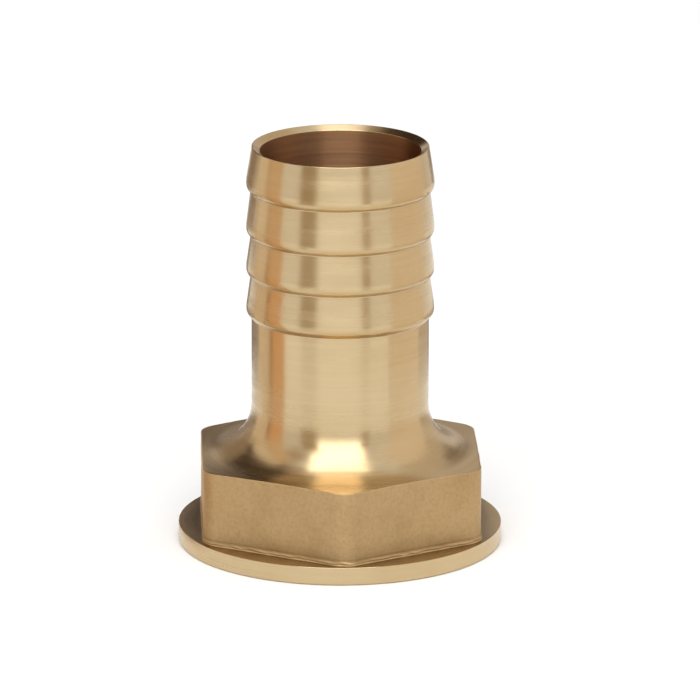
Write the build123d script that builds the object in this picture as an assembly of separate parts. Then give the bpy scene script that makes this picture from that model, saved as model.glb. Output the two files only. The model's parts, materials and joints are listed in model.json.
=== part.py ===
from build123d import *
import math
import os

# Female hose tail for 25 mm hose and G1 pipe thread. It is one brass forging, turned
# everywhere except on the six sides of its hexagon. Millimetres and degrees. The origin
# is the centre of the gasket face, +Z runs along the waterway towards the hose, and two
# corners of the hexagon point to +Y and -Y.

# --- Thread, hexagon and flange ------------------------------------------------------
THREAD_MAJOR_DIAMETER = 33.249
THREADS_PER_INCH = 11
THREAD_ENTRY_CLEARANCE = 0.2  # the entry bevel opens this far past the thread's outside
SOCKET_ROOF = 1.8  # metal between the end of the socket and the level of the shoulder
HEX_ACROSS_FLATS = 38.0
HEX_HEIGHT = 10.3
HEX_CORNER_RADIUS = 3.3
HEX_FOOT_FILLET = 0.4
FLANGE_THICKNESS = 2.5
FLANGE_MARGIN = 0.82  # radius by which the flange stands out past the hexagon's corners
FLANGE_LOWER_BREAK = 0.4
FLANGE_UPPER_BREAK = 0.2
SHOULDER_FILLET = 6.7
SHOULDER_FALL = 3.0  # slope of the turned top of the hexagon, down towards its sides

# --- Hose tail -----------------------------------------------------------------------
HOSE_BORE = 25.0
HOSE_STRETCH = 0.7  # how much wider the barbs' lands are than the hose's bore
BARB_COUNT = 4
BARB_PITCH = 5.7
BARB_LAND = 0.85
BARB_DEPTH = 0.6  # from the land down to the root of the next barb
LEAD_BARB_EXTRA = 0.5  # how much longer the barb nearest the mouth is
LEAD_TAPER = 4.95
NECK_DEPTH = 0.7  # from the land down to the plain neck
NECK_LENGTH = 12.1
MOUTH_DEPTH = 0.75  # from the land down to the rim of the mouth
MOUTH_RIM = 0.12  # flat ring left outside the inner bevel
MOUTH_BEVEL_DEPTH = 0.6
TAIL_WALL = 1.15  # wall of the plain neck

# --- Worked out from the sizes above -------------------------------------------------
WHITWORTH_DEPTH_PER_PITCH = 0.640327
thread_depth = WHITWORTH_DEPTH_PER_PITCH * 25.4 / THREADS_PER_INCH
thread_outer_radius = THREAD_MAJOR_DIAMETER / 2
socket_radius = thread_outer_radius - thread_depth
hex_centre_reach = (HEX_ACROSS_FLATS / 2 - HEX_CORNER_RADIUS) / math.cos(math.radians(30))
hex_corner_reach = hex_centre_reach + HEX_CORNER_RADIUS
flange_radius = hex_corner_reach + FLANGE_MARGIN
shoulder_height = FLANGE_THICKNESS + HEX_HEIGHT
land_radius = (HOSE_BORE + HOSE_STRETCH) / 2
neck_radius = land_radius - NECK_DEPTH
rim_radius = land_radius - MOUTH_DEPTH
bore_radius = neck_radius - TAIL_WALL
neck_base = shoulder_height + SHOULDER_FILLET
first_land = neck_base + NECK_LENGTH + NECK_DEPTH
last_land = first_land + (BARB_COUNT - 1) * BARB_PITCH + LEAD_BARB_EXTRA
total_height = last_land + BARB_LAND + LEAD_TAPER


def barb_points():
    """Outline of the barbs, from the top of the neck up to the rim of the mouth.

    Each barb is a 45 degree bevel out to a short cylindrical land, and above the land
    it tapers back in to the root of the next barb.
    """
    root_radius = land_radius - BARB_DEPTH
    points = []
    for number in range(BARB_COUNT):
        nearest_mouth = number == BARB_COUNT - 1
        foot_radius = root_radius if number else neck_radius
        land = last_land if nearest_mouth else first_land + number * BARB_PITCH
        points.append((foot_radius, land - (land_radius - foot_radius)))
        points.append((land_radius, land))
        points.append((land_radius, land + BARB_LAND))
    return points + [(rim_radius, total_height)]


def turned_body():
    """What the lathe leaves outside, before the sides of the hexagon cut into it."""
    fillet_centre = (neck_radius + SHOULDER_FILLET, neck_base)
    shoulder = CenterArc(fillet_centre, SHOULDER_FILLET, 180, 90 - SHOULDER_FALL)
    foot = shoulder @ 1
    fall = (flange_radius - foot.X) * math.tan(math.radians(SHOULDER_FALL))
    tail = Polyline(shoulder @ 0, *barb_points(), (0, total_height))
    base = Polyline(
        foot, (flange_radius, foot.Y - fall), (flange_radius, 0), (0, 0), (0, total_height)
    )
    return revolve(Plane.XZ * make_face(shoulder + tail + base), Axis.Z)


def hexagon():
    """The forged hexagon with its rounded corners, as tall as the whole part."""
    outline = RegularPolygon(HEX_ACROSS_FLATS / 2, 6, major_radius=False, rotation=30)
    outline = fillet(outline.vertices(), HEX_CORNER_RADIUS)
    return extrude(outline, total_height)


def flange():
    """The turned disc that the gasket seals against, with both its rims broken."""
    seat = (Align.CENTER, Align.CENTER, Align.MIN)
    disc = Cylinder(flange_radius, FLANGE_THICKNESS, align=seat)
    disc = chamfer(disc.edges().group_by(Axis.Z)[0], FLANGE_LOWER_BREAK)
    return chamfer(disc.edges().group_by(Axis.Z)[-1], FLANGE_UPPER_BREAK)


def with_foot_fillet(body):
    """Fillet the corner where the sides of the hexagon meet the flange."""
    level = body.edges().filter_by_position(Axis.Z, FLANGE_THICKNESS, FLANGE_THICKNESS)
    rim = level.filter_by(GeomType.CIRCLE).sort_by(SortBy.RADIUS)[-1]
    room = FLANGE_MARGIN - FLANGE_UPPER_BREAK
    return fillet(level - [rim], min(HEX_FOOT_FILLET, 0.9 * room))


def waterway():
    """The tapped socket, the bore through the tail and the bevel inside its mouth."""
    entry_radius = thread_outer_radius + THREAD_ENTRY_CLEARANCE
    socket_end = shoulder_height - SOCKET_ROOF
    outline = Polyline(
        (0, 0),
        (entry_radius, 0),
        (socket_radius, entry_radius - socket_radius),
        (socket_radius, socket_end),
        (bore_radius, socket_end),
        (bore_radius, total_height - MOUTH_BEVEL_DEPTH),
        (rim_radius - MOUTH_RIM, total_height),
        (0, total_height),
        close=True,
    )
    return revolve(Plane.XZ * make_face(outline), Axis.Z)


def hose_tail():
    """The whole fitting, one solid."""
    outside = with_foot_fillet((turned_body() & hexagon()) + flange())
    return (outside - waterway()).solid()


def main():
    os.makedirs("parts", exist_ok=True)
    tail = hose_tail()
    tail.label = "hose_tail"
    export_step(tail, "parts/hose_tail.step")


main()
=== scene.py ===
"""A brass female hose tail: barbed spigot, hexagon and flange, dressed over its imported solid."""

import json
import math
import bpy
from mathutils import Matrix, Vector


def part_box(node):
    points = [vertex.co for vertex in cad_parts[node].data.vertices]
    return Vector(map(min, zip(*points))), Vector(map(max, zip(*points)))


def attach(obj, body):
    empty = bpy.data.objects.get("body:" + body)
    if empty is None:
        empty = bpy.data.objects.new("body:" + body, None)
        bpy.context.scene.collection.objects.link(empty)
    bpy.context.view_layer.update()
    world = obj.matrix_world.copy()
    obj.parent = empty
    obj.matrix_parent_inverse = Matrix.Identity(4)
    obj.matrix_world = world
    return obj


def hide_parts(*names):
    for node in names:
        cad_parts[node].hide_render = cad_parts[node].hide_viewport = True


bl_info = {
    "name": "Brass Hose Tail",
    "version": (1, 0, 0),
    "blender": (4, 5, 0),
    "location": "3D View > Sidebar > Hose Tail",
    "description": "Builds a brass hose tail with its pipe thread, and a small studio round it",
    "category": "Object",
}

from collections import namedtuple

import bpy
import numpy as np
from mathutils import Matrix

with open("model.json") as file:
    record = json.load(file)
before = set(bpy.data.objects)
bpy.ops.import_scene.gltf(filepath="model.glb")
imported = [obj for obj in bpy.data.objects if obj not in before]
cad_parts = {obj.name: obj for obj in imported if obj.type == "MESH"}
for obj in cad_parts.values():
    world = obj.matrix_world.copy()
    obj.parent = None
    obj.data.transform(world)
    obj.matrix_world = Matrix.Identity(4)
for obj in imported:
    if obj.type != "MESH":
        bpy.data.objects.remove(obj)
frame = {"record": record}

MM = 0.001
NODE = "hose_tail"
PIECE = "hose_tail_turned"
MOUNTS = {mount["name"]: mount for mount in frame["record"]["mounts"]}
CAD_LOW, CAD_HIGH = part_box(NODE)


def linear(hex_colour):
    """An sRGB hex colour as linear red, green, blue and a full alpha."""
    parts = [int(hex_colour[i : i + 2], 16) / 255 for i in (1, 3, 5)]
    curve = [c / 12.92 if c <= 0.04045 else ((c + 0.055) / 1.055) ** 2.4 for c in parts]
    return (*curve, 1.0)


def mount_radius(name):
    """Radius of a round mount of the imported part, in metres."""
    return MOUNTS[name]["dims"]["r_mm"] * MM


def length(label, value, note):
    """A length property, given in millimetres and held in metres."""
    return bpy.props.FloatProperty(
        name=label, description=note, default=value * MM, min=0.0, precision=5, unit="LENGTH"
    )


def colour(label, value, note):
    """A colour property, given as an sRGB hex value and held as linear colour."""
    return bpy.props.FloatVectorProperty(
        name=label, description=note, default=linear(value), size=4, min=0.0, max=1.0,
        subtype="COLOR"
    )


def degrees(label, value, note):
    """An angle property, given in degrees and held in radians."""
    return bpy.props.FloatProperty(
        name=label, description=note, default=math.radians(value), subtype="ANGLE"
    )


def factor(label, value, note):
    """A property between 0 and 1."""
    return bpy.props.FloatProperty(
        name=label, description=note, default=value, min=0.0, max=1.0, subtype="FACTOR"
    )


# --- What a user can change ----------------------------------------------------------


class HoseTailSizes(bpy.types.PropertyGroup):
    """Sizes of the fitting that its mounts and its box don't already give."""

    neck_depth: length("Neck depth", 0.7, "From a barb's land down to the plain neck")
    root_depth: length("Barb depth", 0.6, "From a barb's land down to the root of the next")
    rim_depth: length("Rim depth", 0.75, "From a barb's land down to the rim of the mouth")
    barb_land: length("Barb land", 0.85, "Height of the cylindrical band on each barb")
    barb_pitch: length("Barb pitch", 5.7, "From one barb to the next")
    lead_extra: length("Lead barb extra", 0.5, "How much longer the barb at the mouth is")
    lead_taper: length("Lead taper", 4.75, "From the rim down to the first land")
    shoulder_fillet: length("Shoulder fillet", 6.7, "Radius of the flare under the neck")
    hex_flats: length("Across flats", 38.0, "Spanner size of the hexagon")
    hex_corner: length("Corner radius", 3.3, "Radius of the forged corners of the hexagon")
    hex_height: length("Hexagon height", 10.3, "From the flange up to the shoulder")
    foot_fillet: length("Foot fillet", 0.25, "Fillet where the hexagon meets the flange")
    ridge_height: length("Ridge height", 0.3, "From the flange up to the trimmed flash line")
    ridge_depth: length("Ridge depth", 0.1, "How far the trimmed flash line stands out")
    flange_thickness: length("Flange thickness", 2.5, "Thickness of the round flange")
    flange_lower_break: length("Lower break", 0.15, "Broken lower edge of the flange")
    flange_upper_break: length("Upper break", 0.05, "Broken upper edge of the flange")
    land_crown: length("Land crown", 4.0, "Radius that eases a barb's taper into its land")
    land_round: length("Land rounding", 0.9, "Radius on the lower edge of a barb's land")
    root_round: length("Root rounding", 0.2, "Radius in the root under a barb")
    socket_roof: length("Socket roof", 1.8, "Metal over the end of the tapped socket")
    thread_major: length("Thread major", 33.249, "Major diameter of the G1 thread")
    entry_clearance: length("Entry clearance", 0.2, "How far the entry bevel passes the thread")
    mouth_bevel: length("Mouth bevel", 0.6, "Depth of the bevel inside the mouth")
    mouth_rim: length("Mouth rim", 0.12, "Flat ring left outside that bevel")
    barbs: bpy.props.IntProperty(name="Barbs", description="Barbs on the tail", default=4, min=1)
    threads_per_inch: bpy.props.IntProperty(
        name="Threads per inch", description="Pitch of the pipe thread", default=11, min=1
    )


class BrassFinish(bpy.types.PropertyGroup):
    """Colours and finish of the brass, with the painted shade in its corners and its darker bore.
    """

    turned: colour("Turned brass", "#CCB690", "Clean brass under the lathe tool")
    tarnish: colour("Tarnish", "#B79A69", "Brass that the air has dulled a little")
    # Painted shade: this dark brown darkens the undercuts under the barbs, the flange's top at the
    # hexagon's foot and the foot of the hexagon's sides.
    painted_shade: colour("Soil", "#5C4426", "Oil and dust left in the corners")
    forged: colour("Forged skin", "#B79B71", "Blasted skin left by the forging dies")
    forged_dark: colour("Forged pits", "#8E6E42", "Pits and scale in the forged skin")
    # Painted shade: this colour is darker and redder than the turned brass, standing for the shade
    # inside the bore and the mouth.
    bored: colour("Bored brass", "#A57A5A", "Brass inside the waterway and the socket")
    turned_roughness: factor("Turned roughness", 0.24, "Blur of the turned faces")
    forged_roughness: factor("Forged roughness", 0.56, "Blur of the forged skin")
    bored_roughness: factor("Bored roughness", 0.42, "Blur of the bored and tapped faces")


class StudioSettings(bpy.types.PropertyGroup):
    """Floor, lights and camera of the small studio."""

    distance: length("Camera distance", 980.0, "From the camera to the middle of the part")
    elevation: degrees("Camera elevation", 15.9, "Angle of the camera above the floor")
    turn: degrees("Camera turn", 2.17, "How far the camera stands to the left of -Y")
    roll: degrees("Camera roll", 0.12, "Roll of the camera about its own line of sight")
    aim_height: length("Aim height", 29.12, "Height of the point that the camera is set out from")
    aim_right: length("Aim right", 1.35, "How far the camera stands to the right of that point")
    aim_down: length("Aim down", 2.23, "How far the camera stands below that point")
    focal_length: bpy.props.FloatProperty(
        name="Focal length", description="Focal length for a 36 mm wide sensor", default=367.7,
        unit="CAMERA"
    )
    tent_level: bpy.props.FloatProperty(
        name="Tent level", description="Brightness of the white tent all round", default=0.85
    )
    softbox_level: bpy.props.FloatProperty(
        name="Softbox level", description="Brightness of the overhead softbox", default=3.2
    )
    floor: colour("Floor", "#E6E6E6", "Pale floor")
    tent: colour("Tent", "#FFFFFF", "Cloth of the tent all round")


# --- Surface of the fitting ----------------------------------------------------------

TURNED, FORGED, BORED = range(3)  # slots of the three finishes
MOST_TRIANGLES = 200000
SIXTH = math.pi / 3  # a sixth of a turn
INCH = 25.4 * MM

# Rows and columns of the mesh.
FLAT_COLUMNS = 24  # columns over each side of the hexagon
CORNER_COLUMNS = 22  # columns over each of its corners
ARC_ROWS = 5  # rows round an arc of the turned section
FILLET_ROWS = 24  # rows down the shoulder fillet
TOP_SHARES = (0.35, 0.7, 0.93, 1.0)  # rows over the hexagon's top, as shares of the way out
BROW_ROWS = 6  # rows round the upper edge of its sides
SIDE_ROWS = 18  # rows down its sides to the foot
FOOT_ROWS = 9  # rows down the foot, as far as its fillet
TURN_ROWS = 7  # rows round the foot's fillet
TURNED_ROWS = 2  # the last of those, which are turned with the flange
FLANGE_SHARES = (0.15, 0.6, 1.0)  # rows over the flange's top, as shares of the way out
BORE_ROWS = 8  # rows of the bored finish inside the mouth
THREAD_ROWS = 14  # rows to each turn of the thread
OUTSIDE_STEP, INSIDE_STEP = 2.4 * MM, 2.6 * MM  # the longest steps along a straight run
SHORT_RUN, LONG_RUN = 0.12 * MM, 1.2 * MM  # below and above these, fewer and more rows
END_GAP = 0.05 * MM  # from the end of a run to the first row inside it
END_SHARE = 0.2  # the most of a run that this gap takes up
NEXT_GAPS = (0.25 * MM, 0.5 * MM)  # to the next rows of a long run
ARC_SHARE = 0.45  # the most of a run that a corner's arc takes up
SHARP = 1e-7  # a rounding below this is left out
STRAIGHT = 1e-3  # and so is one where half the section's turn is less than this

# Small sizes of the turned and tapped faces.
MOUTH_DEPTH, BORE_DEPTH = 2.5 * MM, 3.4 * MM  # from the rim to the first row and the last
BEVEL_ROUND = 0.08 * MM  # rounding at the foot of the mouth's bevel
RIM_ROUNDS = (0.05 * MM, 0.07 * MM)  # of the rim's inner and outer edges
FALL = math.radians(3.0)  # slope of the turned top of the hexagon towards its sides
BROW_ROUND = 0.16 * MM  # rounding of the upper edge of the hexagon's sides
FOOT_ZONE = 1.3 * MM  # height of the foot above the flange
UPPER_BULGE, UPPER_ROUND, LOWER_ROUND = 0.3, 0.5, 0.6  # shares of the flange's two breaks
WHITWORTH_DEPTH = 0.640327  # depth of the thread as a share of its pitch
THREAD_STEEP, THREAD_SOFT = 1.5, 0.1  # how steep its flanks and how soft its crests are
THREAD_FADE = 1.2  # turns over which it runs out
THREAD_RELIEF = 0.5 * MM  # plain wall between its end and the socket's roof
ENTRY_GAP = 0.1 * MM  # from the entry bevel to the last row of the gasket face
ROOF_ROUND, STEP_ROUND = 0.25 * MM, 0.15 * MM  # round the socket's roof and at the bore

# Marks of forging and wear, as ranges for seeded draws.
WAVE_SEED, FLASH_SEED, NICK_SEED = 7, 5, 11
WAVES = 14  # slow waves summed over the forged sides
WAVE_LENGTHS, WAVE_HEIGHT = (2.2 * MM, 8.0 * MM), 0.0045 * MM
DENTS = 90  # dents in the forged sides
DENT_RADIUS = 20.0 * MM  # distance from the axis at which waves and dents are laid out
DENT_LEVELS, DENT_DEPTHS = (3.2 * MM, 12.6 * MM), (0.012 * MM, 0.05 * MM)
DENT_WIDTHS, DENT_SHAPES = (0.35 * MM, 0.9 * MM), (0.5, 1.1)  # a shape is height to width
FLASH_TURNS = (13, 19, 29, 37, 47, 61)  # waves round the foot that the flash line sums
FLASH_WANDER, FLASH_SPREAD = 0.08 * MM, 0.14 * MM
FLASH_CHANGE, FLASH_LEAST = 0.6, 0.1  # how much its depth comes and goes, and the least
NICKS = 9  # nicks in the lower edge of each land
NICK_LEVELS, NICK_DEPTHS = (-0.05 * MM, 0.35 * MM), (0.03 * MM, 0.09 * MM)  # levels over it
NICK_WIDTHS, NICK_HEIGHTS = (0.3 * MM, 1.1 * MM), (0.12 * MM, 0.3 * MM)

# Painted shade in the corners, and dulling: how strong each is at most, and how far it spreads.
BARB_SHADE, BARB_SPREAD, BARB_SHARE = 0.2, 0.28 * MM, 0.7  # and its share of the undercut
FLANGE_SHADE, FLANGE_SPREAD, TOP_WITHIN = 0.8, 1.6 * MM, 0.02 * MM  # and the top's margin
BAND_SHADE, BAND_SPREAD, BAND_RISE = 0.55, 0.22 * MM, 0.45 * MM  # and over the flash line
HAZE_SHADE, HAZE_SPREAD, HAZE_DROP = 0.22, 1.5 * MM, 0.3 * MM  # and its foot under the band
SIDE_WITHIN = 0.2 * MM  # the margin of the hexagon's sides
DULL_SPREAD, DULL_RISE, DULL_WITHIN = 0.34 * MM, 0.1 * MM, 0.4 * MM  # and over a land's edge


def hexagon_columns(half_flats, corner):
    """Angles of the mesh's columns, close together where the hexagon's corners turn.

    A corner's arc is stepped evenly in the direction that it faces, from half a sixth of
    a turn one side of the corner to the other, and the side between two arcs evenly in
    angle. The six corners stand at 30 degrees and each 60 degrees on.
    """
    centre = (half_flats - corner) / math.cos(SIXTH / 2)
    facing = np.linspace(-SIXTH / 2, SIXTH / 2, CORNER_COLUMNS)
    arc = np.arctan2(corner * np.sin(facing), centre + corner * np.cos(facing))
    side = np.linspace(arc[-1], SIXTH + arc[0], FLAT_COLUMNS + 2)[1:-1]
    sector = np.concatenate([arc, side])
    corners = SIXTH / 2 + SIXTH * np.arange(6)
    return (corners[:, None] + sector[None, :]).ravel()


def hexagon_reach(angle, half_flats, corner):
    """Distance from the axis to the rounded hexagon's outline in a direction.

    On a side it is half the flats over the cosine of the angle from the side's middle. On
    a corner it is the far crossing with a circle that touches both sides.
    """
    centre = (half_flats - corner) / math.cos(SIXTH / 2)
    from_side = angle - np.round(angle / SIXTH) * SIXTH
    from_corner = np.abs(np.abs(from_side) - SIXTH / 2)
    side = half_flats / np.cos(from_side)
    across = np.sqrt(np.maximum(corner**2 - (centre * np.sin(from_corner)) ** 2, 0.0))
    on_side = half_flats * np.abs(np.tan(from_side)) <= centre / 2
    return np.where(on_side, side, centre * np.cos(from_corner) + across)


def rounded_line(corners, longest=OUTSIDE_STEP):
    """A line of straight runs through (radius, height, rounding) corners, with arcs.

    Each corner gives way to the arc that touches both its runs. Each run gets a point
    near both its ends, so that the shading stays crisp, and more between them.
    """
    points = np.array([c[:2] for c in corners], float)
    rounding = np.array([c[2] if len(c) > 2 else 0.0 for c in corners], float)
    pieces = [points[:1]]
    for i in range(1, len(points) - 1):
        back = points[i - 1] - points[i]
        ahead = points[i + 1] - points[i]
        reach_back, reach_ahead = np.linalg.norm(back), np.linalg.norm(ahead)
        back, ahead = back / reach_back, ahead / reach_ahead
        half = math.acos(float(np.clip(back @ ahead, -1, 1))) / 2
        room = ARC_SHARE * min(reach_back, reach_ahead)
        radius = min(rounding[i], room * math.tan(half))
        if radius < SHARP or half > math.pi / 2 - STRAIGHT:
            pieces.append(points[i : i + 1])
            continue
        touch = radius / math.tan(half)
        middle = (back + ahead) / np.linalg.norm(back + ahead)
        centre = points[i] + middle * radius / math.sin(half)
        start = points[i] + back * touch - centre
        end = points[i] + ahead * touch - centre
        share = np.linspace(0, 1, ARC_ROWS)[:, None]
        whole = math.pi - 2 * half
        arc = (np.sin((1 - share) * whole) * start + np.sin(share * whole) * end) / math.sin(whole)
        pieces.append(centre + arc)
    pieces.append(points[-1:])
    line = [pieces[0]]
    for before, after in zip(pieces[:-1], pieces[1:]):
        run = np.linalg.norm(after[0] - before[-1])
        if run > SHORT_RUN:
            near = min(END_SHARE, END_GAP / run)
            count = max(2, int(math.ceil(run / longest)) + 1)
            shares = np.linspace(near, 1 - near, count)
            if run > LONG_RUN:
                close = np.array(NEXT_GAPS) / run
                shares = np.sort(np.concatenate([shares, close, 1 - close]))
            line.append(before[-1] + shares[:, None] * (after[0] - before[-1]))
        line.append(after)
    return np.concatenate(line)


def neck_radius(size):
    """Radius of the plain neck under the barbs."""
    return mount_radius("hose_seat") - size.neck_depth


def roof_height(size):
    """Height of the socket's roof above the gasket face."""
    return size.flange_thickness + size.hex_height - size.socket_roof


def land_edges(size, top):
    """Heights of the lower edges of the lands, from the mouth down."""
    first = top - size.lead_taper - size.barb_land
    return [first - i * size.barb_pitch - (size.lead_extra if i else 0.0)
            for i in range(size.barbs)]


def undercuts(size, top):
    """Each land's lower edge, from the mouth down, and how deep it is cut in below."""
    depths = [size.root_depth] * (size.barbs - 1) + [size.neck_depth]
    return zip(land_edges(size, top), depths)


def turned_line(size, top):
    """Section of the turned outside, from inside the mouth down to the hexagon's top.

    It goes over the bevel and the rim, down the barbs and the neck, and out along the
    shoulder fillet, which is a quarter circle less the fall of the top.
    """
    land = mount_radius("hose_seat")
    bore = mount_radius("waterway")
    rim = land - size.rim_depth
    neck = neck_radius(size)
    fillet = size.shoulder_fillet
    shoulder = size.flange_thickness + size.hex_height
    corners = [
        (bore, top - MOUTH_DEPTH),
        (bore, top - size.mouth_bevel, BEVEL_ROUND),
        (rim - size.mouth_rim, top, RIM_ROUNDS[0]),
        (rim, top, RIM_ROUNDS[1]),
    ]
    for low, depth in undercuts(size, top):
        corners += [
            (land, low + size.barb_land, size.land_crown),
            (land, low, size.land_round),
            (land - depth, low - depth, size.root_round),
        ]
    corners.append((neck, shoulder + fillet))
    steep = np.linspace(0, math.pi / 2 - FALL, FILLET_ROWS)[1:]
    flare = np.stack([
        neck + fillet * (1 - np.cos(steep)),
        shoulder + fillet * (1 - np.sin(steep)),
    ], axis=1)
    return np.concatenate([rounded_line(corners), flare])


def top_height(radius, size):
    """Height of the turned top of the hexagon at a distance from the axis.

    It is the lower quarter of the shoulder fillet's circle, left at the point where that
    circle slopes by the fall of the top, and from there on a straight slope.
    """
    fillet = size.shoulder_fillet
    centre = neck_radius(size) + fillet
    foot = centre - fillet * math.sin(FALL)
    arc = fillet - np.sqrt(np.maximum(fillet**2 - (centre - np.minimum(radius, foot)) ** 2, 0))
    shoulder = size.flange_thickness + size.hex_height
    return shoulder + arc - np.maximum(radius - foot, 0) * math.tan(FALL)


def hexagon_rows(size, reach, start):
    """Rows over the hexagon, as radius and height, from the shoulder fillet to the flange.

    The top's rows run from the fillet's end out to the hexagon's reach, on the slope of
    the turned top. The brow is a quarter circle. The rows of the sides keep to the reach,
    close together on the foot, and the foot's fillet is another quarter circle.
    """
    flange = size.flange_thickness
    out = start + np.array(TOP_SHARES)[:, None] * (reach - BROW_ROUND - start)
    bend = np.linspace(0, math.pi / 2, BROW_ROWS)[1:, None]
    brow = top_height(reach, size)
    down = np.linspace(0, 1, SIDE_ROWS + 1)[1:, None]
    zone = flange + FOOT_ZONE
    foot = np.linspace(zone, flange + size.foot_fillet, FOOT_ROWS + 2)[1:-1, None]
    turn = np.linspace(0, math.pi / 2, TURN_ROWS)[:, None]
    round_out = size.foot_fillet * (1 - np.cos(turn))
    round_up = size.foot_fillet * (1 - np.sin(turn))
    return {
        "top": (out, top_height(out, size)),
        "brow": (reach - BROW_ROUND * (1 - np.sin(bend)), brow - BROW_ROUND * (1 - np.cos(bend))),
        "sides": (reach + 0 * down, brow - BROW_ROUND + down * (zone - brow + BROW_ROUND)),
        "foot": (reach + 0 * foot, foot + 0 * reach),
        "fillet": (reach + round_out, flange + round_up + 0 * reach),
    }


def flange_rows(size, reach):
    """Rows over the flange's top, round its rim and in over the gasket face."""
    thickness = size.flange_thickness
    flange = (CAD_HIGH.x - CAD_LOW.x) / 2
    lower = size.flange_lower_break
    upper = size.flange_upper_break
    entry = size.thread_major / 2 + size.entry_clearance
    inner = reach + size.foot_fillet
    out = inner + np.array(FLANGE_SHARES)[:, None] * (flange - upper - END_GAP - inner)
    bulge = upper * UPPER_BULGE
    rim = rounded_line([
        (flange - upper, thickness),
        (flange - bulge, thickness - bulge, upper * UPPER_ROUND),
        (flange, thickness - upper, upper * UPPER_ROUND),
        (flange, lower, lower * LOWER_ROUND),
        (flange - lower, 0.0, lower * LOWER_ROUND),
        (entry + ENTRY_GAP, 0.0),
    ])
    return {
        "flange": (out, thickness + 0 * out),
        "rim": (rim[:, :1] + 0 * reach, rim[:, 1:] + 0 * reach),
    }


def outside_rows(size, reach, top):
    """Rows of the outside as radius and height, and the row at which each stretch ends.

    From the bevel inside the mouth the rows run down the turned section, the same all
    round. From there each row's radius depends on the angle: it grows to the reach of the
    hexagon, keeps to it down the side, and comes back to a circle at the flange's rim.
    """
    turned = turned_line(size, top)
    rows = {"turned": (turned[:, :1] + 0 * reach, turned[:, 1:] + 0 * reach)}
    rows.update(hexagon_rows(size, reach, turned[-1, 0]))
    rows.update(flange_rows(size, reach))
    ends = dict(zip(rows, np.cumsum([len(radius) for radius, _ in rows.values()])))
    radius, height = (np.concatenate(part) for part in zip(*rows.values()))
    return radius, height, ends


def hump(away, spread):
    """A Gaussian, which is 1 at no distance and about a third at its spread."""
    return np.exp(-((away / spread) ** 2))


def turn_from(around, at):
    """Angle from one direction to another, between minus half a turn and half a turn."""
    return (around - at + math.pi) % (2 * math.pi) - math.pi


def forged_waves(around, height):
    """How far the forged sides stand out or in, from a sum of slow waves and small dents.

    The waves are cosines of the distance round and the height, a few millimetres long. A
    dent is a Gaussian hollow, wider than it is deep, at a random place on the sides.
    """
    draw = np.random.default_rng(WAVE_SEED)
    out = np.zeros(np.broadcast(around, height).shape)
    for _ in range(WAVES):
        wavelength = draw.uniform(*WAVE_LENGTHS)
        heading = draw.uniform(0, math.pi)
        turns = np.round(math.cos(heading) * 2 * math.pi * DENT_RADIUS / wavelength)
        rise = math.sin(heading) * 2 * math.pi / wavelength
        out += np.cos(turns * around + rise * height + draw.uniform(0, 2 * math.pi))
    out *= WAVE_HEIGHT
    for _ in range(DENTS):
        at = draw.uniform(0, 2 * math.pi)
        level = draw.uniform(*DENT_LEVELS)
        wide = draw.uniform(*DENT_WIDTHS)
        tall = wide * draw.uniform(*DENT_SHAPES)
        deep = draw.uniform(*DENT_DEPTHS)
        away = turn_from(around, at) * DENT_RADIUS
        out -= deep * hump(away, wide) * hump(height - level, tall)
    return out


def flash_line(around, height, size):
    """How strongly the trimmed flash line and its painted highlight show at a place on the
    foot, and how far out.

    It is a Gaussian of the height above or below a level that wanders with a sum of
    cosines round the foot, and its depth wanders with another such sum.
    """
    draw = np.random.default_rng(FLASH_SEED)
    turns = np.array(FLASH_TURNS)[:, None]
    start = draw.uniform(0, 2 * math.pi, (2, len(FLASH_TURNS), 1))
    wander, change = 2 * np.cos(turns * around + start).mean(axis=1)
    level = size.flange_thickness + size.ridge_height + FLASH_WANDER * wander
    share = hump(height - level, FLASH_SPREAD)
    return share, share * size.ridge_depth * np.clip(1 + FLASH_CHANGE * change, FLASH_LEAST, None)


def land_nicks(around, height, size, top):
    """How deep the lands' lower edges are nicked, as short Gaussian notches round them."""
    draw = np.random.default_rng(NICK_SEED)
    out = np.zeros(np.broadcast(around, height).shape)
    for low in land_edges(size, top):
        for _ in range(NICKS):
            at = draw.uniform(0, 2 * math.pi)
            wide = draw.uniform(*NICK_WIDTHS)
            tall = draw.uniform(*NICK_HEIGHTS)
            deep = draw.uniform(*NICK_DEPTHS)
            level = low + draw.uniform(*NICK_LEVELS)
            away = turn_from(around, at) * mount_radius("hose_seat")
            out += deep * hump(away, wide) * hump(height - level, tall)
    return out


def worn_outside(size, angle, reach, top):
    """Rows of the outside with its waves, flash line and nicks, and how they are finished.

    Past the radius and the height come how trimmed each place is, from 0 to 1, which also
    lays a painted highlight along the flash line, and the rows that have the forged skin.
    """
    radius, height, ends = outside_rows(size, reach, top)
    forged = slice(ends["top"], ends["fillet"] - TURNED_ROWS)
    foot = slice(ends["sides"], forged.stop)
    turned = slice(0, ends["turned"])
    radius[forged] += forged_waves(angle, height[forged])
    trim_and_highlight = np.zeros(radius.shape)
    # The flash line's share also lays its painted highlight on the forged skin.
    trim_and_highlight[foot], ridge = flash_line(angle, height[foot], size)
    radius[foot] += ridge
    radius[turned] -= land_nicks(angle, height[turned], size, top)
    return radius, height, trim_and_highlight, forged


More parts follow.
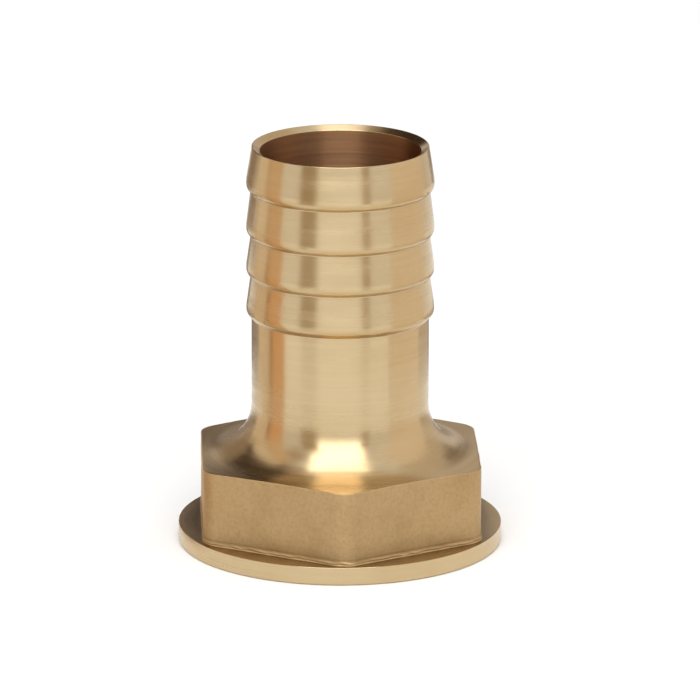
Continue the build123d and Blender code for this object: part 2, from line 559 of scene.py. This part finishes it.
def painted_shade_of(radius, height, reach, size, top):
    """How much painted shade darkens each corner of the mesh outside, from 0 to 1.

    It falls off as a Gaussian with the distance from a line on the undercut of each barb,
    from the line where the hexagon's foot meets the flange's top, and from a line on the
    hexagon's sides above the flash line, which has a wider, fainter spread of the shade over it.
    """
    land = mount_radius("hose_seat")
    painted_shade = np.zeros(radius.shape)
    for low, depth in undercuts(size, top):
        away = np.hypot(radius - land + BARB_SHARE * depth, height - low + BARB_SHARE * depth)
        painted_shade = np.maximum(painted_shade, BARB_SHADE * hump(away, BARB_SPREAD))
    rise = height - size.flange_thickness
    away = np.hypot(radius - reach - size.foot_fillet, rise)
    on_top = np.abs(rise) < TOP_WITHIN
    painted_shade = np.maximum(painted_shade, FLANGE_SHADE * hump(away, FLANGE_SPREAD) * on_top)
    above = rise - size.ridge_height - BAND_RISE
    band = BAND_SHADE * hump(above, BAND_SPREAD)
    haze = HAZE_SHADE * hump(np.maximum(above, 0.0), HAZE_SPREAD) * (above > -HAZE_DROP)
    on_side = np.abs(radius - reach) < SIDE_WITHIN
    return np.maximum(painted_shade, np.maximum(band, haze) * on_side)


def dulled_of(radius, height, size, top):
    """How much the lands' lower edges are dulled by hoses, from 0 to 1, as Gaussians."""
    dulled = np.zeros(radius.shape)
    for low in land_edges(size, top):
        dulled = np.maximum(dulled, hump(height - low - DULL_RISE, DULL_SPREAD))
    return dulled * (radius > mount_radius("hose_seat") - DULL_WITHIN)


def smooth_clip(value, soft):
    """The value held between 0 and 1, with both bends softened into curves."""
    low = np.sqrt(value**2 + soft**2)
    high = np.sqrt((value - 1) ** 2 + soft**2)
    return 0.5 * (low - high + 1)


def thread_rows(size, angle, end):
    """Rows of the tapped socket, each at one phase of the thread, so they climb with it.

    A row's height is its phase times the pitch plus the climb of a right-hand helix, held
    between the gasket face and the end of the thread. The radius is the minor radius plus
    the thread's depth times a softened triangle wave of the phase, fading out towards the
    end, and never less than the entry bevel's cone. The height before it is held comes
    last, to tell which rows run past an end.
    """
    pitch = INCH / size.threads_per_inch
    minor = mount_radius("thread_socket")
    depth = WHITWORTH_DEPTH * pitch
    rows = np.arange(-THREAD_ROWS, int(math.ceil(THREAD_ROWS * end / pitch)) + 1)
    phase = rows / THREAD_ROWS
    climb = (angle - angle[0]) / (2 * math.pi)
    free = (phase[:, None] + climb[None, :]) * pitch
    height = np.clip(free, 0.0, end)
    wave = np.abs(2 * (phase - np.floor(phase)) - 1)
    form = smooth_clip(THREAD_STEEP * (wave - 0.5) + 0.5, THREAD_SOFT)[:, None]
    fade = np.clip((end - height) / (THREAD_FADE * pitch), 0, 1)
    fade = fade * fade * (3 - 2 * fade)
    entry = size.thread_major / 2 + size.entry_clearance
    radius = np.maximum(minor + depth * form * fade, entry - height)
    return radius, height, free


def inside_rows(size, reach, top, end):
    """Rows from the end of the thread over the socket's roof and up the plain bore."""
    socket = mount_radius("thread_socket")
    bore = mount_radius("waterway")
    roof = roof_height(size)
    line = rounded_line([
        (socket, end + END_GAP),
        (socket, roof, ROOF_ROUND),
        (bore, roof, STEP_ROUND),
        (bore, top - BORE_DEPTH),
    ], longest=INSIDE_STEP)
    return line[:, :1] + 0 * reach, line[:, 1:] + 0 * reach


def band_quads(rows):
    """Quads between each row and the next, going right round."""
    after = np.roll(rows, -1, axis=1)
    return np.stack([rows[:-1], rows[1:], after[1:], after[:-1]], -1)


def hose_tail_triangles(outside_count, inside_count, forged, free, end):
    """Triangles between all the rows, and the slot of the finish that each one has.

    The rows are one band: down the outside, in through the thread and up the bore to
    where it began. It goes right round the axis, so it closes both ways. In the thread, a
    row meets the row one turn further on where the columns come full circle, and rows
    that run past the thread's ends share the corners there.
    """
    thread_count, count = free.shape
    first_in = outside_count + thread_count
    index = np.arange((first_in + inside_count) * count).reshape(-1, count)
    thread = index[outside_count:first_in]
    thread[:] = np.where(free <= 0.0, thread[0], thread)
    thread[:] = np.where(free >= end, thread[-1], thread)

    outside = band_quads(index[: outside_count + 1])
    outside_kinds = np.full(outside.shape[:2], TURNED)
    outside_kinds[forged] = FORGED
    outside_kinds[:BORE_ROWS] = BORED
    inside = band_quads(np.concatenate([index[first_in - 1 :], index[:1]]))
    plain = np.stack([thread[:-1, :-1], thread[1:, :-1], thread[1:, 1:], thread[:-1, 1:]], -1)
    here, there = thread[:-THREAD_ROWS, -1], thread[THREAD_ROWS:, 0]
    seam = np.stack([here[:-1], here[1:], there[1:], there[:-1]], -1)
    quads = np.concatenate([part.reshape(-1, 4) for part in (outside, inside, plain, seam)])
    kinds = np.full(len(quads), BORED)
    kinds[: outside_kinds.size] = outside_kinds.ravel()

    triangles = np.concatenate([quads[:, (0, 1, 2)], quads[:, (0, 2, 3)]])
    kinds = np.concatenate([kinds, kinds])
    sound = (triangles != np.roll(triangles, -1, axis=1)).all(axis=1)
    return triangles[sound], kinds[sound]


def hose_tail_surface(size):
    """Corners and triangles of the whole fitting, each triangle's finish, wear and painted light.
    """
    top = CAD_HIGH.z
    angle = hexagon_columns(size.hex_flats / 2, size.hex_corner)
    reach = hexagon_reach(angle, size.hex_flats / 2, size.hex_corner)
    end = roof_height(size) - THREAD_RELIEF
    out_radius, out_height, trim_and_highlight, forged = worn_outside(size, angle, reach, top)
    thread_radius, thread_height, free = thread_rows(size, angle, end)
    in_radius, in_height = inside_rows(size, reach, top, end)
    outside = len(out_radius)
    triangles, kinds = hose_tail_triangles(outside, len(in_radius), forged, free, end)

    radius = np.concatenate([out_radius, thread_radius, in_radius])
    height = np.concatenate([out_height, thread_height, in_height])
    corners = np.stack([radius * np.cos(angle), radius * np.sin(angle), height], -1)
    # Dulling is wear; the darkening of the corners is painted shade, and the flash line's trim is
    # partly a painted highlight.
    wear_and_painted_light = {
        "painted_shade": painted_shade_of(radius, height, reach, size, top),
        "dulled": dulled_of(radius, height, size, top),
        "trim_and_highlight": np.zeros(radius.shape),
    }
    wear_and_painted_light["painted_shade"][outside:] = 0.0
    wear_and_painted_light["trim_and_highlight"][:outside] = trim_and_highlight
    used, triangles = np.unique(triangles, return_inverse=True)
    wear_and_painted_light = {name: values.ravel()[used] for name, values in wear_and_painted_light.items()}
    return corners.reshape(-1, 3)[used], triangles.reshape(-1, 3), kinds, wear_and_painted_light


def mesh_object(name, corners, faces):
    """A smooth mesh object at the origin, made from arrays of corners and faces."""
    mesh = bpy.data.meshes.new(name)
    mesh.from_pydata(corners.tolist(), [], faces.tolist())
    mesh.polygons.foreach_set("use_smooth", np.ones(len(mesh.polygons), bool))
    mesh.update()
    piece = bpy.data.objects.new(name, mesh)
    bpy.context.scene.collection.objects.link(piece)
    return piece


# --- Materials -----------------------------------------------------------------------

# Sizes of the patterns in the brass. A mark's are across it and along it.
FINE_MARKS, BROAD_MARKS = (0.34 * MM, 12 * MM), (1.4 * MM, 18 * MM)
TURNED_DEPTHS, BORED_DEPTHS = (0.011 * MM, 0.004 * MM), (0.09 * MM, 0.02 * MM)
TURNED_CLOUD, FORGED_CLOUD = 9 * MM, 4.5 * MM
PIT, PIT_DEPTH = 0.5 * MM, 0.048 * MM
COLOUR_A, COLOUR_B, COLOUR_OUT = 6, 7, 2  # numbers of a Mix node's colour sockets


def add_node(tree, kind, inputs=None, **settings):
    """Add a node, set its attributes from settings, and link or set its inputs.

    An input goes by its name or its number. It is linked where it is given a socket, and
    holds what it is given where that is a value.
    """
    node = tree.nodes.new(kind)
    for key, value in settings.items():
        setattr(node, key, value)
    for key, value in (inputs or {}).items():
        if isinstance(value, bpy.types.NodeSocket):
            tree.links.new(value, node.inputs[key])
        else:
            node.inputs[key].default_value = value
    return node


def new_material(name):
    """An empty node material, its tree and its Object coordinates."""
    material = bpy.data.materials.new(name)
    material.use_nodes = True
    tree = material.node_tree
    tree.nodes.clear()
    return material, tree, add_node(tree, "ShaderNodeTexCoord").outputs["Object"]


def turning_marks(tree, place):
    """Height of the fine and of the broad marks that a lathe tool leaves.

    The marks are rings, so their noise is read at (x, y) drawn out to a long wavelength
    and at (height less radius), which counts up along a barb, a fillet and a face alike.
    The feed of the tool, about 0.1 mm, is too fine to show and is drawn coarser.
    """
    split = add_node(tree, "ShaderNodeSeparateXYZ", {"Vector": place})
    flat = add_node(tree, "ShaderNodeVectorMath", {0: place, 1: (1.0, 1.0, 0.0)},
                    operation="MULTIPLY").outputs["Vector"]
    radius = add_node(tree, "ShaderNodeVectorMath", {0: flat}, operation="LENGTH")
    along = add_node(tree, "ShaderNodeMath", {0: split.outputs["Z"], 1: radius.outputs["Value"]},
                     operation="SUBTRACT")
    marks = []
    for wavelength, stretch in (FINE_MARKS, BROAD_MARKS):
        across = add_node(tree, "ShaderNodeVectorMath", {0: flat, "Scale": 1 / stretch},
                          operation="SCALE")
        down = add_node(tree, "ShaderNodeMath", {0: along.outputs["Value"], 1: 1 / wavelength},
                        operation="MULTIPLY")
        up = add_node(tree, "ShaderNodeCombineXYZ", {"Z": down.outputs["Value"]})
        both = add_node(tree, "ShaderNodeVectorMath",
                        {0: across.outputs["Vector"], 1: up.outputs["Vector"]}, operation="ADD")
        mark = add_node(tree, "ShaderNodeTexNoise",
                        {"Vector": both.outputs["Vector"], "Scale": 1.0, "Detail": 1.0})
        marks.append(mark.outputs["Fac"])
    return marks


def tinted(tree, shade, tints):
    """A colour with tints over it, one after another, each as far as its pattern says.

    A tint is given as its pattern, the pattern's values where it begins and where it is
    fullest, how full that is, and its colour.
    """
    for pattern, begins, fullest, most, tint in tints:
        share = add_node(tree, "ShaderNodeMapRange", {
            "Value": pattern, "From Min": begins, "From Max": fullest, "To Max": most,
        })
        mix = {"Factor": share.outputs["Result"], COLOUR_A: shade, COLOUR_B: tint}
        shade = add_node(tree, "ShaderNodeMix", mix, data_type="RGBA").outputs[COLOUR_OUT]
    return shade


def lathe_surface(tree, place, marks, depths):
    """Shader inputs that any lathe-cut face shares: its marks as bump, and its grain.

    The tangent goes round the axis and the rotation turns it up the section, so that
    what the metal mirrors is blurred along the section and stays crisp round the axis.
    """
    around = add_node(tree, "ShaderNodeVectorMath", {0: (0.0, 0.0, 1.0), 1: place},
                      operation="CROSS_PRODUCT")
    inputs = {
        "Metallic": 1.0,
        "Anisotropic Rotation": 0.25,
        "Tangent": around.outputs["Vector"],
    }
    for mark, depth in zip(marks, depths):
        bump = {"Height": mark, "Strength": 1.0, "Distance": depth}
        if "Normal" in inputs:
            bump["Normal"] = inputs["Normal"]
        inputs["Normal"] = add_node(tree, "ShaderNodeBump", bump).outputs["Normal"]
    return inputs


def turned_brass(finish):
    """Free-cutting brass turned on a lathe.

    It is bright and warm, and the tool's rings blur what it mirrors along the axis far
    more than round it, so lights and dark things draw out into upright bands. It is a
    little duller where hands and hoses touch it, and painted darker brown in the corners,
    as painted shade.
    """
    material, tree, place = new_material("turned_brass")
    fine, broad = turning_marks(tree, place)
    cloud = add_node(tree, "ShaderNodeTexNoise",
                     {"Vector": place, "Scale": 1 / TURNED_CLOUD, "Detail": 3.0})
    dulled = add_node(tree, "ShaderNodeAttribute", attribute_name="dulled")
    painted_shade = add_node(tree, "ShaderNodeAttribute", attribute_name="painted_shade")
    shade = tinted(tree, finish.turned, (
        (fine, 0.3, 0.8, 0.2, finish.tarnish),
        (cloud.outputs["Fac"], 0.45, 0.8, 0.35, finish.tarnish),
        (dulled.outputs["Fac"], 0.0, 1.0, 0.5, finish.tarnish),
        # Painted shade: the dark brown laid into the undercuts under the barbs and onto the
        # flange's top at the hexagon's foot.
        (painted_shade.outputs["Fac"], 0.0, 1.0, 0.85, finish.painted_shade),
    ))
    rough = add_node(tree, "ShaderNodeMapRange", {
        "Value": broad, "From Min": 0.3, "From Max": 0.7,
        "To Min": finish.turned_roughness - 0.03, "To Max": finish.turned_roughness + 0.05,
    })
    shader = add_node(tree, "ShaderNodeBsdfPrincipled", {
        "Base Color": shade,
        "Roughness": rough.outputs["Result"],
        "Anisotropic": 0.7,
        **lathe_surface(tree, place, (broad, fine), TURNED_DEPTHS),
    })
    add_node(tree, "ShaderNodeOutputMaterial", {"Surface": shader.outputs["BSDF"]})
    return material


def forged_brass(finish):
    """Brass as the forging dies and the shot-blast leave it.

    The skin is matt and a little brown, finely pitted, and brighter along the foot, where
    the flash was trimmed off, a line that is partly a painted highlight. Low on the sides it
    has painted shade. The pits are about 0.1 mm wide, and are drawn coarser to show.
    """
    material, tree, place = new_material("forged_brass")
    grit = add_node(tree, "ShaderNodeTexNoise", {
        "Vector": place, "Scale": 1 / PIT, "Detail": 3.0, "Roughness": 0.6,
    })
    cloud = add_node(tree, "ShaderNodeTexNoise",
                     {"Vector": place, "Scale": 1 / FORGED_CLOUD, "Detail": 3.0})
    painted_shade = add_node(tree, "ShaderNodeAttribute", attribute_name="painted_shade")
    trim_and_highlight = add_node(tree, "ShaderNodeAttribute", attribute_name="trim_and_highlight")
    shade = tinted(tree, finish.forged, (
        (grit.outputs["Fac"], 0.45, 0.72, 0.15, finish.forged_dark),
        (cloud.outputs["Fac"], 0.45, 0.75, 0.22, finish.forged_dark),
        # Painted shade: the dark brown low on the hexagon's sides, above the flash line.
        (painted_shade.outputs["Fac"], 0.0, 1.0, 0.6, finish.painted_shade),
        # Partly a painted highlight: the flash line is lightened towards the turned brass's
        # colour.
        (trim_and_highlight.outputs["Fac"], 0.0, 1.0, 0.3, finish.turned),
    ))
    rough = add_node(tree, "ShaderNodeMapRange", {
        "Value": grit.outputs["Fac"], "From Min": 0.3, "From Max": 0.7,
        "To Min": finish.forged_roughness - 0.06, "To Max": finish.forged_roughness + 0.06,
    })
    bump = add_node(tree, "ShaderNodeBump", {
        "Height": grit.outputs["Fac"], "Strength": 1.0, "Distance": PIT_DEPTH,
    })
    shader = add_node(tree, "ShaderNodeBsdfPrincipled", {
        "Base Color": shade,
        "Metallic": 1.0,
        "Roughness": rough.outputs["Result"],
        "Normal": bump.outputs["Normal"],
    })
    add_node(tree, "ShaderNodeOutputMaterial", {"Surface": shader.outputs["BSDF"]})
    return material


def bored_brass(finish):
    """Brass inside the waterway and the socket, bored and tapped.

    The boring tool leaves deeper rings than the turning tool, and the metal mirrors
    mostly itself, so it looks dark and coppery. Its colour is also painted darker and
    redder than the turned brass, as painted shade inside the bore.
    """
    material, tree, place = new_material("bored_brass")
    fine, broad = turning_marks(tree, place)
    # Painted shade: the bored colour darkens the bore beyond what the brass itself would show.
    shader = add_node(tree, "ShaderNodeBsdfPrincipled", {
        "Base Color": tinted(tree, finish.bored, ((fine, 0.35, 0.75, 0.25, finish.tarnish),)),
        "Roughness": finish.bored_roughness,
        "Anisotropic": 0.85,
        **lathe_surface(tree, place, (broad, fine), BORED_DEPTHS),
    })
    add_node(tree, "ShaderNodeOutputMaterial", {"Surface": shader.outputs["BSDF"]})
    return material


def pale_floor(studio):
    """Matt white board, which gives the eye nothing but a soft shadow."""
    material, tree, _ = new_material("pale_floor")
    shader = add_node(tree, "ShaderNodeBsdfPrincipled", {
        "Base Color": studio.floor, "Roughness": 0.8, "Specular IOR Level": 0.0,
    })
    add_node(tree, "ShaderNodeOutputMaterial", {"Surface": shader.outputs["BSDF"]})
    return material


def lit_card(name, tint):
    """Card or cloth, evenly lit, that the brass mirrors as a band of its colour.

    Where the card's sides are soft it fades to clear, and so does the edge of the band.
    """
    material, tree, _ = new_material(name)
    glow = add_node(tree, "ShaderNodeEmission", {"Color": tint, "Strength": 1.0})
    clear = add_node(tree, "ShaderNodeBsdfTransparent")
    side = add_node(tree, "ShaderNodeAttribute", attribute_name="lit")
    shader = add_node(tree, "ShaderNodeMixShader", {
        0: side.outputs["Fac"], 1: clear.outputs["BSDF"], 2: glow.outputs["Emission"],
    })
    add_node(tree, "ShaderNodeOutputMaterial", {"Surface": shader.outputs["Shader"]})
    return material


def softbox_cloth(level):
    """White diffusing cloth, lit from behind and dimmer towards its seams."""
    material, tree, _ = new_material("softbox_cloth")
    seam = add_node(tree, "ShaderNodeAttribute", attribute_name="lit")
    strength = add_node(tree, "ShaderNodeMath", {0: seam.outputs["Fac"], 1: level},
                        operation="MULTIPLY")
    glow = add_node(tree, "ShaderNodeEmission", {"Strength": strength.outputs["Value"]})
    add_node(tree, "ShaderNodeOutputMaterial", {"Surface": glow.outputs["Emission"]})
    return material


# --- Studio --------------------------------------------------------------------------

# A card is part of a ring round the axis, upright where its two distances are the same.
# Azimuths are in degrees from -Y, where the camera stands, with +90 at +X, and distances
# and heights are in metres. Soft is how many degrees it takes to fade out at each side.
# A lip's card is named for the lip that mirrors it, so the left lip's stands on the right.
Card = namedtuple("Card", "name azimuths distances heights colour soft", defaults=(0.0,))
CARDS = (
    Card("taupe_card_low", (-125, -97), (0.065, 0.065), (0.004, 0.036), "#F0DFCC", 2.0),
    Card("brown_card_low", (-100, -92), (0.0655, 0.0655), (0.004, 0.036), "#B48F68"),
    Card("tan_card_low", (-93, -72), (0.0645, 0.0645), (0.004, 0.036), "#F4C294", 1.0),
    Card("taupe_card_high", (-118, -95.5), (0.065, 0.065), (0.036, 0.11), "#F8EAD9", 2.0),
    Card("brown_card_high", (-99, -90), (0.0655, 0.0655), (0.036, 0.11), "#DCC3A7"),
    Card("tan_card_high", (-92, -72), (0.0645, 0.0645), (0.036, 0.11), "#EED1B3", 1.0),
    Card("left_foot_card", (-118, -72), (0.032, 0.065), (0.001, 0.001), "#DCC4A6", 4.0),
    Card("left_rim_card", (-130, -60), (0.0235, 0.032), (0.001, 0.001), "#E0CEBB", 20.0),
    Card("cream_card", (58, 112), (0.07, 0.07), (0.004, 0.11), "#F9ECDD"),
    Card("left_stand", (-55, -27), (0.45, 0.45), (0.0, 0.46), "#B8A488", 7.0),
    # Painted shadow: a darker sheet on the floor that the lands mirror as the left stand's shadow.
    Card("left_stand_painted_shadow", (-55, -28), (0.16, 0.45), (0.001, 0.001), "#BBA78E", 6.0),
    Card("right_stand", (23, 36), (0.45, 0.45), (0.0, 0.33), "#C6B49F", 3.0),
    # Painted shadow: a darker sheet on the floor that the lands mirror as the right stand's
    # shadow.
    Card("right_stand_painted_shadow", (23, 36), (0.16, 0.45), (0.001, 0.001), "#CDBCA8", 3.0),
    Card("back_left_card", (-128, -108), (0.09, 0.09), (0.0, 0.014), "#CDBFAD"),
    Card("back_left_shade", (-178, -128), (0.09, 0.09), (0.0, 0.014), "#968A7E"),
    Card("back_right_card", (112, 150), (0.09, 0.09), (0.0, 0.014), "#CDBDA8"),
    Card("back_right_shade", (150, 178), (0.09, 0.09), (0.0, 0.014), "#A0958A"),
    Card("back_left_edge", (-161, -126), (0.085, 0.085), (0.027, 0.062), "#A39180", 6.0),
    Card("left_outline_card", (-178, -150), (0.088, 0.088), (0.013, 0.026), "#A59A92"),
    Card("back_right_edge", (137, 161), (0.085, 0.085), (0.034, 0.062), "#8F8375", 6.0),
    Card("right_lip_card", (-174, -163), (0.215, 0.215), (0.076, 0.112), "#E0D7D0"),
    Card("left_lip_card", (161, 170), (0.28, 0.28), (0.062, 0.095), "#857A70"),
    Card("foot_left_card", (-179, -146), (0.2, 0.2), (0.050, 0.068), "#251D19"),
    Card("near_left_card", (-179, -162), (0.0845, 0.0845), (0.026, 0.0335), "#2A211C"),
    Card("near_right_card", (162, 179), (0.0845, 0.0845), (0.0245, 0.0325), "#857A6C"),
    Card("drape", (-180, -118), (0.22, 0.22), (0.086, 0.43), "#3E3028"),
    Card("back_left_low", (-180, -106), (0.29, 0.29), (0.0, 0.050), "#C4B6A6"),
    Card("back_left_wall", (-180, -106), (0.3, 0.3), (0.0, 1.0), "#B2A290"),
    Card("back_right_low", (112, 180), (0.3, 0.3), (0.0, 0.085), "#E4DACF"),
    Card("back_right_high", (112, 180), (0.31, 0.31), (0.085, 0.5), "#D8CCBD"),
    Card("left_high_card", (-106, -56), (0.6, 0.6), (0.45, 1.1), "#C8B9A8"),
    Card("right_high_card", (50, 112), (0.6, 0.6), (0.25, 1.1), "#F8F5F0"),
)
NEAR = 0.5  # metres; a card nearer than this lights nothing and is only mirrored
SOFTBOX_LOW, SOFTBOX_HIGH = 21.0, 101.0  # degrees up from the front, over the top
SOFTBOX_LEFT = (-0.80, -0.27)  # its edges as shares of its distance, low and high
SOFTBOX_RIGHT = (0.57, 0.24)
SOFTBOX_DISTANCE, SOFTBOX_BASE = 1.4, 0.02  # radius and height of the centre of its bend
SOFTBOX_SEAM, SOFTBOX_DIM = 0.09, 0.3  # share of its width that dims at each side, and to
FLOOR_HALF, FLOOR_GAP = 4.0, 0.02 * MM  # half its width, and how far it lies below the part
CARD_ROWS, CARD_COLUMNS = 3, 49
SOFTBOX_ROWS, SOFTBOX_COLUMNS = 25, 67


def fading(share, side):
    """1 in the middle of a width, easing to 0 at both ends over a share of it."""
    near = np.clip(np.minimum(share, 1 - share) / side, 0.0, 1.0)
    return near * near * (3 - 2 * near)


def stage_sheet(name, points, lit, material, near):
    """A bent sheet through a grid of points, seen in reflections and not by the camera.

    It holds how strongly each of its points is lit, and one that is near lights nothing.
    """
    index = np.arange(points.shape[0] * points.shape[1]).reshape(points.shape[:2])
    faces = np.stack([index[:-1, :-1], index[1:, :-1], index[1:, 1:], index[:-1, 1:]], -1)
    sheet = mesh_object(name, points.reshape(-1, 3), faces.reshape(-1, 4))
    sheet.data.materials.append(material)
    sheet.visible_camera = False
    sheet.visible_diffuse = not near
    sheet.visible_shadow = False
    layer = sheet.data.attributes.new("lit", "FLOAT", "POINT")
    layer.data.foreach_set("value", lit.ravel().astype(np.float32))


def build_world(scene, studio):
    """An even white tent, with its colours shown as they are."""
    world = bpy.data.worlds.new("white_tent")
    world.use_nodes = True
    background = world.node_tree.nodes["Background"]
    background.inputs["Color"].default_value = studio.tent
    background.inputs["Strength"].default_value = studio.tent_level
    scene.world = world
    scene.view_settings.view_transform = "Standard"


def build_floor(studio):
    """A wide pale floor, a hair under the gasket face."""
    edge = FLOOR_HALF * np.array([(-1, -1), (1, -1), (1, 1), (-1, 1)])
    corners = np.column_stack([edge, np.full(4, -FLOOR_GAP)])
    floor = mesh_object("floor", corners, np.array([(0, 1, 2, 3)]))
    floor.data.materials.append(pale_floor(studio))


def build_cards():
    """The coloured cards that the polished brass mirrors."""
    for card in CARDS:
        share = np.linspace(0, 1, CARD_COLUMNS)[None, :]
        low, high = card.azimuths
        around = np.radians(low + share * (high - low))
        out = np.linspace(*card.distances, CARD_ROWS)[:, None]
        up = np.linspace(*card.heights, CARD_ROWS)[:, None] + 0 * around
        points = np.stack([out * np.sin(around), -out * np.cos(around), up], -1)
        lit = fading(share, card.soft / (high - low)) if card.soft else np.ones(share.shape)
        material = lit_card(card.name, linear(card.colour))
        stage_sheet(card.name, points, lit + 0 * out, material, min(card.distances) < NEAR)


def build_softbox(studio):
    """The softbox, a wide sheet bent over the part from low in front to past the top.

    A point's angle and its two edges' places run evenly from its low end to its high one.
    """
    rise = np.linspace(0, 1, SOFTBOX_ROWS)[:, None]
    angle = np.radians(SOFTBOX_LOW + rise * (SOFTBOX_HIGH - SOFTBOX_LOW))
    left = SOFTBOX_LEFT[0] + rise * (SOFTBOX_LEFT[1] - SOFTBOX_LEFT[0])
    right = SOFTBOX_RIGHT[0] + rise * (SOFTBOX_RIGHT[1] - SOFTBOX_RIGHT[0])
    share = np.linspace(0, 1, SOFTBOX_COLUMNS)[None, :]
    across = left + share * (right - left)
    points = SOFTBOX_DISTANCE * np.stack([
        across, -np.cos(angle) + 0 * across, np.sin(angle) + 0 * across
    ], -1) + np.array([0, 0, SOFTBOX_BASE])
    lit = SOFTBOX_DIM + (1 - SOFTBOX_DIM) * fading(share, SOFTBOX_SEAM) + 0 * rise
    stage_sheet("softbox", points, lit, softbox_cloth(studio.softbox_level), False)


def build_camera(scene, studio):
    """The camera, aimed so that the fitting sits a little left of and below the middle."""
    lens = bpy.data.cameras.new("studio_camera")
    lens.lens = studio.focal_length
    lens.sensor_width = 36.0
    lens.clip_start = 0.05
    camera = bpy.data.objects.new("studio_camera", lens)
    scene.collection.objects.link(camera)
    away = np.array([
        -math.sin(studio.turn) * math.cos(studio.elevation),
        -math.cos(studio.turn) * math.cos(studio.elevation),
        math.sin(studio.elevation),
    ])
    right = np.array([math.cos(studio.turn), -math.sin(studio.turn), 0.0])
    up = np.cross(right, -away)
    place = away * studio.distance + right * studio.aim_right - up * studio.aim_down
    place[2] += studio.aim_height
    roll = np.array([
        [math.cos(studio.roll), -math.sin(studio.roll)],
        [math.sin(studio.roll), math.cos(studio.roll)],
    ])
    axes = np.column_stack([np.stack([right, up], 1) @ roll, away, place])
    camera.matrix_world = Matrix(np.vstack([axes, [0, 0, 0, 1]]).tolist())
    scene.camera = camera


# --- Operators -----------------------------------------------------------------------


class OBJECT_OT_hose_tail(bpy.types.Operator):
    """Build the fitting's turned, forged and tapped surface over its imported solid"""

    bl_idname = "object.hose_tail"
    bl_label = "Hose Tail"

    def execute(self, context):
        finish = context.scene.hose_tail_finish
        corners, triangles, kinds, wear_and_painted_light = hose_tail_surface(context.scene.hose_tail_sizes)
        if len(triangles) >= MOST_TRIANGLES:
            raise RuntimeError(f"the hose tail has {len(triangles)} triangles, which is too many")
        piece = mesh_object(PIECE, corners, triangles)
        for material in (turned_brass(finish), forged_brass(finish), bored_brass(finish)):
            piece.data.materials.append(material)
        piece.data.polygons.foreach_set("material_index", kinds.astype(np.int32))
        for name, values in wear_and_painted_light.items():
            layer = piece.data.attributes.new(name, "FLOAT", "POINT")
            layer.data.foreach_set("value", values.astype(np.float32))
        piece.data.update()
        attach(piece, "root")
        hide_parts(NODE)
        return {"FINISHED"}


class OBJECT_OT_hose_tail_studio(bpy.types.Operator):
    """Set up the pale floor, the soft lights and the camera"""

    bl_idname = "object.hose_tail_studio"
    bl_label = "Studio"

    def execute(self, context):
        studio = context.scene.hose_tail_studio
        build_world(context.scene, studio)
        build_floor(studio)
        build_cards()
        build_softbox(studio)
        build_camera(context.scene, studio)
        return {"FINISHED"}


class VIEW3D_PT_hose_tail(bpy.types.Panel):
    """Lists the fitting and its studio, with what can be changed on each"""

    bl_idname = "VIEW3D_PT_hose_tail"
    bl_label = "Hose Tail"
    bl_space_type = "VIEW_3D"
    bl_region_type = "UI"
    bl_category = "Hose Tail"

    def draw(self, context):
        scene = context.scene
        column = self.layout.column()
        column.operator(OBJECT_OT_hose_tail.bl_idname)
        for group in (scene.hose_tail_sizes, scene.hose_tail_finish):
            for name in group.__annotations__:
                column.prop(group, name)
        column.operator(OBJECT_OT_hose_tail_studio.bl_idname)
        for name in scene.hose_tail_studio.__annotations__:
            column.prop(scene.hose_tail_studio, name)


CLASSES = (
    HoseTailSizes,
    BrassFinish,
    StudioSettings,
    OBJECT_OT_hose_tail,
    OBJECT_OT_hose_tail_studio,
    VIEW3D_PT_hose_tail,
)


def register():
    """Register the classes and hang the property groups on the scene."""
    for each in CLASSES:
        bpy.utils.register_class(each)
    bpy.types.Scene.hose_tail_sizes = bpy.props.PointerProperty(type=HoseTailSizes)
    bpy.types.Scene.hose_tail_finish = bpy.props.PointerProperty(type=BrassFinish)
    bpy.types.Scene.hose_tail_studio = bpy.props.PointerProperty(type=StudioSettings)


def unregister():
    """Undo register."""
    del bpy.types.Scene.hose_tail_studio
    del bpy.types.Scene.hose_tail_finish
    del bpy.types.Scene.hose_tail_sizes
    for each in reversed(CLASSES):
        bpy.utils.unregister_class(each)


def plain(bounds):
    """A pair of corners as plain lists of numbers."""
    return [[float(value) for value in corner] for corner in bounds]


def main():
    """Build everything."""
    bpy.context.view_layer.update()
    register()
    bpy.ops.object.hose_tail()
    bpy.ops.object.hose_tail_studio()


if __name__ == "__main__":
    main()
